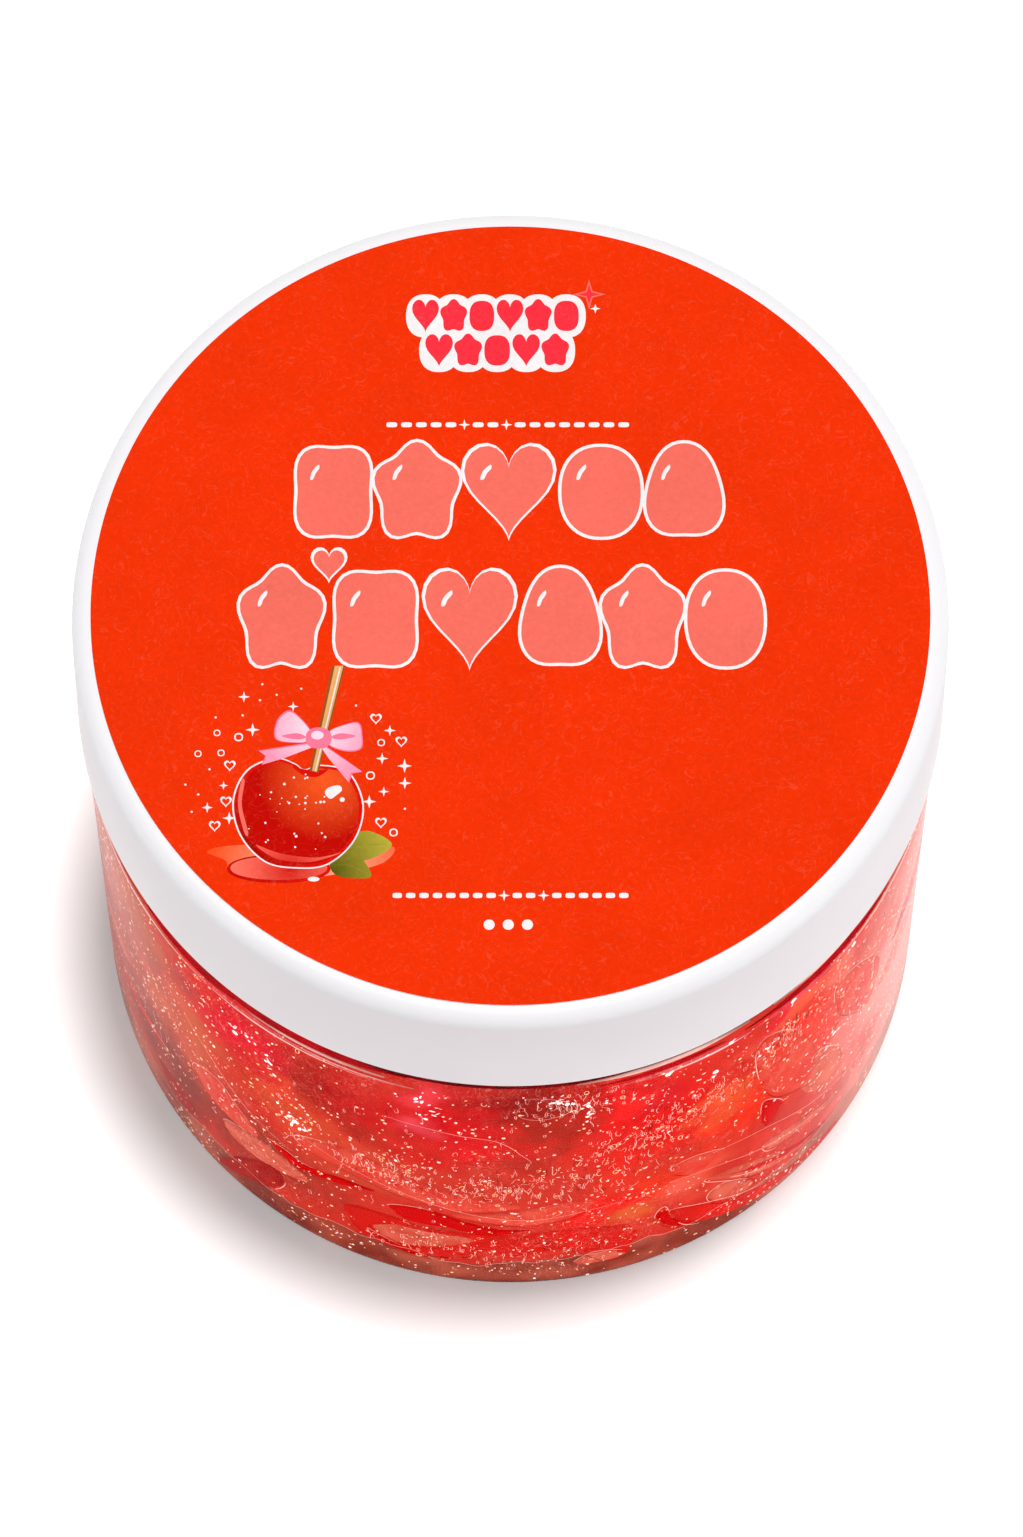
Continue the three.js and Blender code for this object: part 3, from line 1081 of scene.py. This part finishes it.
skirt_x = lid_high.x
lid_x = skirt_x - LID_DRAFT
profile = [(0, mouth_z), (lid_x - LID_WALL, mouth_z), (lid_x - LID_WALL, lid_low.z)]
profile += arc(skirt_x - LID_LIP, lid_low.z + LID_LIP, LID_LIP, -90, 0, 6)
profile += arc(lid_x - LID_EDGE_ROUND, lid_high.z - LID_EDGE_ROUND, LID_EDGE_ROUND, 0, 90)
profile += [(0, lid_high.z)]
lid = turned("white_lid", profile)

# The panel is a neutral white. The skirt is a touch pinker, a painted bounce of colour from the
# filling, and the thin lip at its lower edge is the whitest, a painted highlight line.
lid.data.materials.append(moulded_polypropylene("white_polypropylene_satin", "#DFDDDF", "#DCDADC"))
lid.data.materials.append(moulded_polypropylene("white_polypropylene_painted_highlight_edge", "#FFFFFF", "#FDFDFD"))
lid.data.materials.append(moulded_polypropylene("white_polypropylene_painted_bounce_skirt", "#DFD7DA", "#DCD4D7"))
for face in lid.data.polygons:
    if face.center.xy.length < lid_x - LID_LIP:
        continue
    if face.center.z < lid_low.z + LID_LIP:
        face.material_index = 1
    elif face.center.z < lid_high.z - LID_EDGE_ROUND:
        face.material_index = 2
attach(lid, "root")
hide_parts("lid")


# --- Label -----------------------------------------------------------------------------------
# A round sticker of coated paper, printed in flat inks and die-cut, stuck flat on the lid: an
# orange-red field with two rows of plump sweets, a badge, plain rules and a candied fruit.

PAPER_GRAIN = 0.4545 * MM
FIBRE_GAP = 1.4286 * MM  # coarser than real paper's, whose fibres are too fine to show
INK_CLOUD = 6.25 * MM

label_low, label_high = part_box("label")
label_radius = label_high.x


def printed_ink(name, colour, second=None, centre=(0, 0), reach=1.0):
    """Offset ink on coated paper: satin and faintly mottled, with fibres as fine pale threads.
    It may fade to a second ink away from a centre."""
    material, tree, output = new_material(name)
    place = add(tree, "ShaderNodeTexCoord").outputs["Object"]
    tint = linear(colour)
    if second:
        middle = (centre[0] * label_radius, centre[1] * label_radius, label_high.z)
        away = add(tree, "ShaderNodeVectorMath", {0: place, 1: middle}, operation="DISTANCE")
        fade = {"Value": away.outputs["Value"], "From Max": reach * label_radius}
        fade = add(tree, "ShaderNodeMapRange", fade)
        tint = {0: fade.outputs[0], 6: linear(colour), 7: linear(second)}
        tint = add(tree, "ShaderNodeMix", tint, data_type="RGBA").outputs[2]
    grain = {"Vector": place, "Scale": 1 / PAPER_GRAIN, "Detail": 2.0}
    grain = add(tree, "ShaderNodeTexNoise", grain).outputs["Fac"]
    fibre = {"Vector": place, "Scale": 1 / FIBRE_GAP, "Detail": 1.0, "Distortion": 2.0}
    fibre = add(tree, "ShaderNodeTexNoise", fibre).outputs["Fac"]
    off = add(tree, "ShaderNodeMath", {0: fibre, 1: 0.5}, operation="SUBTRACT")
    off = add(tree, "ShaderNodeMath", {0: off.outputs[0]}, operation="ABSOLUTE")
    thread = {"Value": off.outputs[0], "From Max": 0.02, "To Min": 0.05, "To Max": 0.0}
    thread = add(tree, "ShaderNodeMapRange", thread)
    cloud = {"Vector": place, "Scale": 1 / INK_CLOUD, "Detail": 3.0}
    cloud = add(tree, "ShaderNodeTexNoise", cloud).outputs["Fac"]
    mottle = add(tree, "ShaderNodeMath", {0: grain, 1: 0.22, 2: 0.80}, operation="MULTIPLY_ADD")
    mottle = {0: cloud, 1: 0.18, 2: mottle.outputs[0]}
    mottle = add(tree, "ShaderNodeMath", mottle, operation="MULTIPLY_ADD").outputs[0]
    grey = add(tree, "ShaderNodeCombineColor", {0: mottle, 1: mottle, 2: mottle})
    shade = {0: 1.0, 6: tint, 7: grey.outputs[0]}
    shade = add(tree, "ShaderNodeMix", shade, data_type="RGBA", blend_type="MULTIPLY")
    shade = {0: thread.outputs[0], 6: shade.outputs[2], 7: linear("#FFB090")}
    shade = add(tree, "ShaderNodeMix", shade, data_type="RGBA")
    bump = add(tree, "ShaderNodeBump", {"Height": grain, "Strength": 0.25, "Distance": 0.05 * MM})
    ink = {
        "Base Color": shade.outputs[2],
        "Roughness": 0.55,
        "Specular IOR Level": 0.0,
        "Normal": bump.outputs[0],
    }
    ink = add(tree, "ShaderNodeBsdfPrincipled", ink)
    tree.links.new(ink.outputs[0], output.inputs["Surface"])
    return material


# All of the print is laid out in shares of the label's radius. The inks' numbers are their places
# in the list.
(FIELD, WHITE, SALMON, PINKRED, FRUIT, SHADOW, STICK) = range(7)
(BOW, BOWDARK, LEAF, LEAFDARK, PUDDLE, SYRUP, BARK) = range(7, 14)
FRUIT_X, FRUIT_Y = -0.5, -0.52
inks = [
    printed_ink("orange_red_ink", "#D92D06"),
    printed_ink("white_ink", "#DCD8D8"),
    printed_ink("salmon_ink", "#DE6456"),
    printed_ink("pink_red_ink", "#F22C3A"),
    printed_ink("fruit_red_ink", "#E4501C", "#B00A05", (FRUIT_X + 0.06, FRUIT_Y + 0.085), 0.155),
    printed_ink("fruit_shade_ink", "#8C0804", "#C81008", (FRUIT_X - 0.1, FRUIT_Y - 0.08), 0.16),
    printed_ink("tan_ink", "#D49A60"),
    printed_ink("pale_pink_ink", "#FBD2DE", "#F08CA8", (-0.457, -0.30), 0.13),
    printed_ink("rose_ink", "#EE6E8C"),
    printed_ink("leaf_green_ink", "#55580E", "#A89C34", (-0.41, -0.63), 0.13),
    printed_ink("leaf_dark_ink", "#4A4A0A", "#8E8428", (-0.42, -0.67), 0.1),
    printed_ink("peach_ink", "#FF9C7C", "#E84A1E", (-0.46, -0.67), 0.24),
    printed_ink("syrup_ink", "#C0140C", "#F0705E", (-0.52, -0.66), 0.16),
    printed_ink("brown_ink", "#8A4C20"),
]

shapes = []


def print_shape(ink, outline):
    """Adds one printed area, over those before it."""
    shapes.append((ink, outline))


def rounded(
    x, y, half_width, half_height, squareness=2.6, petals=0, depth=0.0, turn=0.0, steps=44, grow=0.0
):
    """A plump outline between an oval and a rectangle, with soft petals if wanted."""
    outline = []
    for i in range(steps):
        angle = 2 * math.pi * i / steps
        c, s = math.cos(angle), math.sin(angle)
        reach = (abs(c) ** squareness + abs(s) ** squareness) ** (-1 / squareness)
        reach *= 1 + depth * math.cos(petals * (angle - turn))
        outline.append((x + (half_width * reach + grow) * c, y + (half_height * reach + grow) * s))
    return outline


def heart(x, y, half_width, half_height, steps=36):
    """A plump heart."""
    outline = []
    for i in range(steps):
        t = -2 * math.pi * i / steps
        high = 13 * math.cos(t) - 5 * math.cos(2 * t) - 2 * math.cos(3 * t) - math.cos(4 * t) + 2.5
        outline.append((x + half_width * math.sin(t) ** 3, y + half_height * high / 14.5))
    return outline


def sparkle(x, y, size):
    """A four-pointed sparkle with hollow sides."""
    return [
        (x + size * r * math.cos(math.pi * i / 4), y + size * r * math.sin(math.pi * i / 4))
        for i, r in zip(range(8), [1, 0.3] * 4)
    ]


SWEET_EDGE = 0.008

# The plump outlines: squareness, then the number, depth and turn of the soft petals.
SWEET_FORMS = {
    "square": (3.0, 4, 0.05, 0.78),
    "flower": (2.3, 5, 0.11, 1.57),
    "egg": (2.4, 3, 0.08, 1.57),
    "oval": (2.3, 0, 0, 0),
}
# Each row: the height of its middle, its half height, its left end, its sweets' widths and kinds.
FIRST_ROW = [(0.196, "square"), (0.204, "flower"), (0.236, "heart"), (0.206, "oval"), (0.192, "egg")]
SECOND_ROW = [(0.200, "flower"), (0.018, "gap"), (0.212, "square"), (0.236, "heart")]
SECOND_ROW += [(0.196, "egg"), (0.196, "flower"), (0.198, "oval")]
SWEET_ROWS = [(0.3025, 0.125, -0.522, FIRST_ROW), (-0.026, 0.130, -0.645, SECOND_ROW)]
SHINE_MARK = [(-0.62, 0.28), (-0.56, 0.46), (-0.40, 0.60), (-0.38, 0.52), (-0.48, 0.40), (-0.54, 0.28)]


def sweets():
    """Two rows of plump sweets, each with a white edge and a curved shine mark at its upper left,
    and one small heart between the rows."""
    for y, half_height, x, row in SWEET_ROWS:
        for width, kind in row:
            middle = x + width / 2
            x += width
            half, tall = width / 2 - SWEET_EDGE, half_height - SWEET_EDGE
            if kind == "gap":
                continue
            if kind == "heart":
                print_shape(WHITE, heart(middle, y, half + SWEET_EDGE * 0.6, half_height + SWEET_EDGE * 0.4))
                print_shape(SALMON, heart(middle, y, half - SWEET_EDGE * 0.4, half_height - SWEET_EDGE * 0.6))
            else:
                print_shape(WHITE, rounded(middle, y, half, tall, *SWEET_FORMS[kind], grow=SWEET_EDGE))
                print_shape(SALMON, rounded(middle, y, half, tall, *SWEET_FORMS[kind]))
            mark = [(middle + a * half, y + b * tall) for a, b in SHINE_MARK]
            print_shape(WHITE, smooth_loop(mark, 4))
    print_shape(WHITE, heart(-0.433, 0.112, 0.044, 0.047))
    print_shape(SALMON, heart(-0.433, 0.112, 0.037, 0.039))


def badge():
    """Two short rows of pink-red hearts, flowers and beads on one white backing, and a sparkle at
    their corner."""
    beads = [(-0.205 + 0.068 * i, 0.763, 0.030, 0.040) for i in range(6)]
    beads += [(-0.172 + 0.070 * i, 0.672, 0.031, 0.040) for i in range(5)]
    for x, y, half_width, half_height in beads:
        print_shape(WHITE, rounded(x, y, half_width, half_height, 2.6, grow=0.017))
    for n, (x, y, half_width, half_height) in enumerate(beads):
        if n % 3 == 0:
            print_shape(PINKRED, heart(x, y, half_width * 1.08, half_height * 1.08))
        elif n % 3 == 1:
            print_shape(PINKRED, rounded(x, y, half_width, half_height, 2.2, 5, 0.12, 1.57, steps=40))
        else:
            print_shape(PINKRED, rounded(x, y, half_width, half_height, 2.6, steps=28))
    print_shape(SALMON, sparkle(0.19, 0.82, 0.04))
    print_shape(PINKRED, sparkle(0.19, 0.82, 0.026))
    print_shape(WHITE, sparkle(0.205, 0.782, 0.013))


def rules():
    """Plain dashes in line, with a small sparkle between groups, and three dots below."""
    for y, start, groups, dash in ((0.477, -0.298, (5, 2, 8), 0.026), (-0.727, -0.277, (8, 2, 6), 0.022)):
        x = start
        for group in groups:
            for _ in range(group):
                print_shape(WHITE, rounded(x + dash / 2, y, dash / 2, 0.0065, 4.0, steps=16))
                x += dash + 0.0095
            x += 0.010
            if group != groups[-1]:
                print_shape(WHITE, sparkle(x, y, 0.014))
                x += 0.020
    for i in range(3):
        print_shape(WHITE, rounded(-0.05 + 0.045 * i, -0.80, 0.013, 0.013, 2.0, steps=20))


def grown(outline, x, y, wider, taller):
    """An outline made larger about a point, by a share of its size each way."""
    return [(px + (px - x) * wider, py + (py - y) * taller) for px, py in outline]


def candied_fruit():
    """A round fruit dipped in red syrup, on a stick with a bow, standing in its own puddle."""
    print_shape(PUDDLE, smooth_loop([(-0.715, -0.618), (-0.66, -0.602), (-0.50, -0.60), (-0.36, -0.62),
                                     (-0.275, -0.605), (-0.30, -0.645), (-0.40, -0.672), (-0.55, -0.690),
                                     (-0.655, -0.672), (-0.67, -0.640)]))
    print_shape(SHADOW, rounded(-0.545, -0.660, 0.122, 0.036, 2.1))
    print_shape(SYRUP, rounded(-0.545, -0.658, 0.114, 0.030, 2.1))
    print_shape(WHITE, rounded(-0.463, -0.686, 0.014, 0.006, 2.0, steps=16))
    print_shape(LEAF, smooth_loop([(-0.405, -0.608), (-0.37, -0.574), (-0.33, -0.566), (-0.279, -0.598),
                                   (-0.32, -0.632), (-0.37, -0.640)]))
    print_shape(LEAFDARK, [(-0.40, -0.615), (-0.34, -0.598), (-0.29, -0.598), (-0.34, -0.603)])
    print_shape(LEAFDARK, smooth_loop([(-0.425, -0.648), (-0.395, -0.618), (-0.36, -0.622), (-0.327, -0.677),
                                       (-0.37, -0.684), (-0.41, -0.676)]))
    print_shape(LEAF, [(-0.42, -0.650), (-0.38, -0.648), (-0.335, -0.672), (-0.38, -0.653)])
    body = [(-0.487, -0.413), (-0.45, -0.402), (-0.385, -0.42), (-0.351, -0.50), (-0.37, -0.585),
            (-0.43, -0.645), (-0.50, -0.655), (-0.575, -0.64), (-0.633, -0.575), (-0.651, -0.49),
            (-0.62, -0.415), (-0.555, -0.385), (-0.51, -0.398)]
    print_shape(WHITE, grown(smooth_loop(body), FRUIT_X, FRUIT_Y, 0.035, 0.035))
    print_shape(SHADOW, grown(smooth_loop(body), FRUIT_X, FRUIT_Y, 0.01, 0.01))
    print_shape(FRUIT, grown(smooth_loop(body), -0.49, -0.51, -0.05, -0.05))
    print_shape(SALMON, smooth_loop([(-0.628, -0.44), (-0.634, -0.50), (-0.618, -0.57), (-0.627, -0.57),
                                     (-0.643, -0.50), (-0.636, -0.44)]))
    print_shape(SYRUP, smooth_loop([(-0.60, -0.60), (-0.55, -0.635), (-0.47, -0.643), (-0.40, -0.62),
                                    (-0.46, -0.632), (-0.54, -0.622)]))
    print_shape(SHADOW, smooth_loop([(-0.515, -0.402), (-0.49, -0.424), (-0.455, -0.428), (-0.43, -0.408),
                                     (-0.455, -0.412), (-0.485, -0.410)]))
    print_shape(WHITE, smooth_loop([(-0.438, -0.470), (-0.43, -0.456), (-0.405, -0.450), (-0.398, -0.462),
                                    (-0.41, -0.474), (-0.425, -0.484)]))
    print_shape(WHITE, rounded(-0.397, -0.486, 0.006, 0.006, 2.0, steps=12))
    print_shape(BARK, [(-0.4748, -0.4127), (-0.4544, -0.4188), (-0.3927, -0.146), (-0.424, -0.146)])
    print_shape(STICK, [(-0.4690, -0.4127), (-0.4574, -0.4160), (-0.3967, -0.146), (-0.417, -0.146)])
    print_shape(WHITE, [(-0.4620, -0.4137), (-0.4600, -0.4140), (-0.4027, -0.150), (-0.406, -0.150)])
    bows = [
        [(-0.470, -0.321), (-0.494, -0.286), (-0.524, -0.264), (-0.551, -0.289), (-0.553, -0.332),
         (-0.506, -0.341), (-0.480, -0.337)],
        [(-0.428, -0.315), (-0.400, -0.300), (-0.362, -0.293), (-0.353, -0.325), (-0.356, -0.355),
         (-0.390, -0.361), (-0.430, -0.345)],
    ]
    tails = [
        [(-0.475, -0.345), (-0.593, -0.364), (-0.577, -0.376), (-0.585, -0.397),
         (-0.535, -0.381), (-0.470, -0.354)],
        [(-0.436, -0.354), (-0.353, -0.414), (-0.377, -0.418), (-0.384, -0.440),
         (-0.431, -0.380), (-0.445, -0.358)],
    ]
    for tail in tails:
        print_shape(BOWDARK, grown(tail, -0.48, -0.39, 0.03, 0.08))
        print_shape(BOW, tail)
    for loop, side in zip(bows, (-1, 1)):
        middle = (-0.454 + side * 0.052, -0.322)
        print_shape(BOWDARK, grown(smooth_loop(loop), *middle, 0.06, 0.08))
        print_shape(BOW, smooth_loop(loop))
        print_shape(BOWDARK, smooth_loop([(-0.454 + side * 0.03, -0.328), (middle[0], -0.318),
                                          (-0.454 + side * 0.088, -0.325), (middle[0], -0.334)]))
    print_shape(BOWDARK, rounded(-0.454, -0.330, 0.031, 0.027, 2.3, steps=28))
    print_shape(BOW, rounded(-0.457, -0.323, 0.015, 0.011, 2.0, steps=16))


def sparkles():
    """Sparkles, rings and dots strewn round the fruit and over its skin."""
    draw = random.Random(3)
    taken = []
    for _ in range(260):
        turn = math.radians(draw.uniform(-25, 205))
        away = draw.uniform(1.12, 1.8)
        x, y = FRUIT_X + 0.15 * away * math.cos(turn), FRUIT_Y + 0.06 + 0.16 * away * math.sin(turn)
        crowded = any(math.hypot(x - a, y - b) < 0.036 for a, b in taken)
        in_bow = -0.61 < x < -0.33 and -0.42 < y < -0.25
        on_stick = -0.47 < x < -0.37 and y > -0.3
        if crowded or in_bow or on_stick or math.hypot(x, y) > 0.93 or y > -0.19:
            continue
        taken.append((x, y))
        kind = len(taken) % 6
        if kind in (0, 3):
            print_shape(WHITE, sparkle(x, y, draw.uniform(0.010, 0.018)))
        elif kind == 1:
            size = draw.uniform(0.008, 0.011)
            print_shape(WHITE, rounded(x, y, size, size, 2.4, steps=16))
            print_shape(FIELD, rounded(x, y, size * 0.68, size * 0.68, 2.4, steps=16))
        elif kind == 4:
            print_shape(WHITE, heart(x, y, 0.014, 0.014, 20))
            print_shape(FIELD, heart(x, y, 0.0095, 0.0095, 20))
        else:
            print_shape(WHITE, rounded(x, y, 0.0028, 0.0028, 2.0, steps=8))
    for _ in range(64):
        turn, away = draw.uniform(0, 2 * math.pi), draw.uniform(0, 1) ** 0.5
        x, y = FRUIT_X + 0.13 * away * math.cos(turn), FRUIT_Y + 0.1 * away * math.sin(turn)
        if y < FRUIT_Y + 0.02 and draw.random() < 0.7:
            continue
        size = draw.uniform(0.0015, 0.0036)
        print_shape(WHITE, rounded(x, y, size, size, 2.0, steps=8))


def make_label():
    """The sticker as one closed disc, whose top is divided along the edges of its print."""
    rim = [(math.cos(2 * math.pi * i / 360), math.sin(2 * math.pi * i / 360)) for i in range(360)]
    flat = [Vector(p) for p in rim]
    edges = [(i, (i + 1) % 360) for i in range(360)]
    for _, outline in shapes:
        first = len(flat)
        flat += [Vector(p) for p in outline]
        edges += [(first + i, first + (i + 1) % len(outline)) for i in range(len(outline))]
    found, _, triangles, *_ = geometry.delaunay_2d_cdt(flat, edges, [], 0, 1e-6)
    boxes = []
    for ink, outline in shapes:
        xs, ys = [p[0] for p in outline], [p[1] for p in outline]
        boxes.append((ink, outline, min(xs), max(xs), min(ys), max(ys)))
    points = [(p.x * label_radius, p.y * label_radius, label_high.z) for p in found]
    faces, slots = [], []
    for triangle in triangles:
        x = sum(found[i].x for i in triangle) / 3
        y = sum(found[i].y for i in triangle) / 3
        ink = FIELD
        for shape_ink, outline, x0, x1, y0, y1 in boxes:
            if x0 < x < x1 and y0 < y < y1 and inside(outline, x, y):
                ink = shape_ink
        faces.append(tuple(triangle))
        slots.append(ink)
    around = sorted(
        (i for i, p in enumerate(found) if p.length > 0.9999),
        key=lambda i: math.atan2(found[i].y, found[i].x),
    )
    low = len(points)
    points += [(found[i].x * label_radius, found[i].y * label_radius, label_low.z) for i in around]
    count = len(around)
    for n in range(count):
        m = (n + 1) % count
        faces.append((around[n], low + n, low + m, around[m]))
        slots.append(WHITE)
    faces.append(tuple(low + n for n in reversed(range(count))))
    slots.append(WHITE)
    made = make_object("printed_label", points, faces, 30)
    for ink in inks:
        made.data.materials.append(ink)
    for face, slot in zip(made.data.polygons, slots):
        face.material_index = slot
    return made


badge()
rules()
candied_fruit()
sweets()
sparkles()
label = make_label()
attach(label, "root")
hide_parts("label")


# --- Table, light and camera -----------------------------------------------------------------
# A plain white table top under a round soft light high overhead, with a weak one at each side and
# even light all round, and a long-lens camera high in front of the jar.

TABLE_HALF = 1.6
SPECK = 8.0 * MM
FLOOR_GLOW = 0.13  # keeps the white board from going grey
ROOM_LIGHT = 0.41
CAMERA_DISTANCE = 730 * MM
CAMERA_ELEVATION = math.radians(69.0)
AIM_BELOW_LID = 36.87 * MM
LENS = 196.1
LENS_SHIFT = 0.0007

corners = [(x * TABLE_HALF, y * TABLE_HALF, 0) for x, y in ((-1, -1), (1, -1), (1, 1), (-1, 1))]
floor = make_object("table_top", corners, [(0, 1, 2, 3)])
material, tree, output = new_material("matt_white_board")
speck = add(tree, "ShaderNodeTexNoise", {"Scale": 2 * TABLE_HALF / SPECK})
tint = {0: speck.outputs["Fac"], 6: linear("#FFFFFF"), 7: linear("#FCFCFC")}
tint = add(tree, "ShaderNodeMix", tint, data_type="RGBA")
board = {
    "Base Color": tint.outputs[2],
    "Roughness": 0.9,
    "Specular IOR Level": 0.1,
    "Emission Color": linear("#DEFFFF"),
    "Emission Strength": FLOOR_GLOW,
}
board = add(tree, "ShaderNodeBsdfPrincipled", board)
tree.links.new(board.outputs[0], output.inputs["Surface"])
floor.data.materials.append(material)

world = bpy.data.worlds.new("even_room_light")
world.use_nodes = True
sky = world.node_tree.nodes["Background"]
sky.inputs["Color"].default_value = linear("#FFFFFF")
sky.inputs["Strength"].default_value = ROOM_LIGHT
scene.world = world


def softbox(name, place, aim, size, power):
    """A round soft light, aimed at a point."""
    lamp = bpy.data.lights.new(name, "AREA")
    lamp.shape = "DISK"
    lamp.size = size
    lamp.energy = power
    box = bpy.data.objects.new(name, lamp)
    box.location = place
    box.rotation_mode = "QUATERNION"
    box.rotation_quaternion = (Vector(aim) - Vector(place)).to_track_quat("-Z", "Y")
    scene.collection.objects.link(box)


softbox("overhead_softbox", (0.11, 0.10, 2.6), (0, 0, 0.03), 0.32, 56.0)
softbox("right_softbox", (0.70, -0.35, 0.25), (0, 0, 0.03), 0.5, 1.05)
softbox("left_softbox", (-0.70, -0.35, 0.25), (0, 0, 0.03), 0.5, 0.4)

camera = bpy.data.objects.new("camera", bpy.data.cameras.new("camera"))
camera.data.lens = LENS
camera.data.sensor_width = 36
camera.data.shift_x = LENS_SHIFT
camera.data.clip_start, camera.data.clip_end = 0.05, 20
back = Vector((0, -math.cos(CAMERA_ELEVATION), math.sin(CAMERA_ELEVATION)))
camera.location = Vector((0, 0, lid_high.z - AIM_BELOW_LID)) + back * CAMERA_DISTANCE
camera.rotation_mode = "QUATERNION"
camera.rotation_quaternion = (-back).to_track_quat("-Z", "Y")
scene.collection.objects.link(camera)
scene.camera = camera
scene.view_settings.view_transform = "Standard"
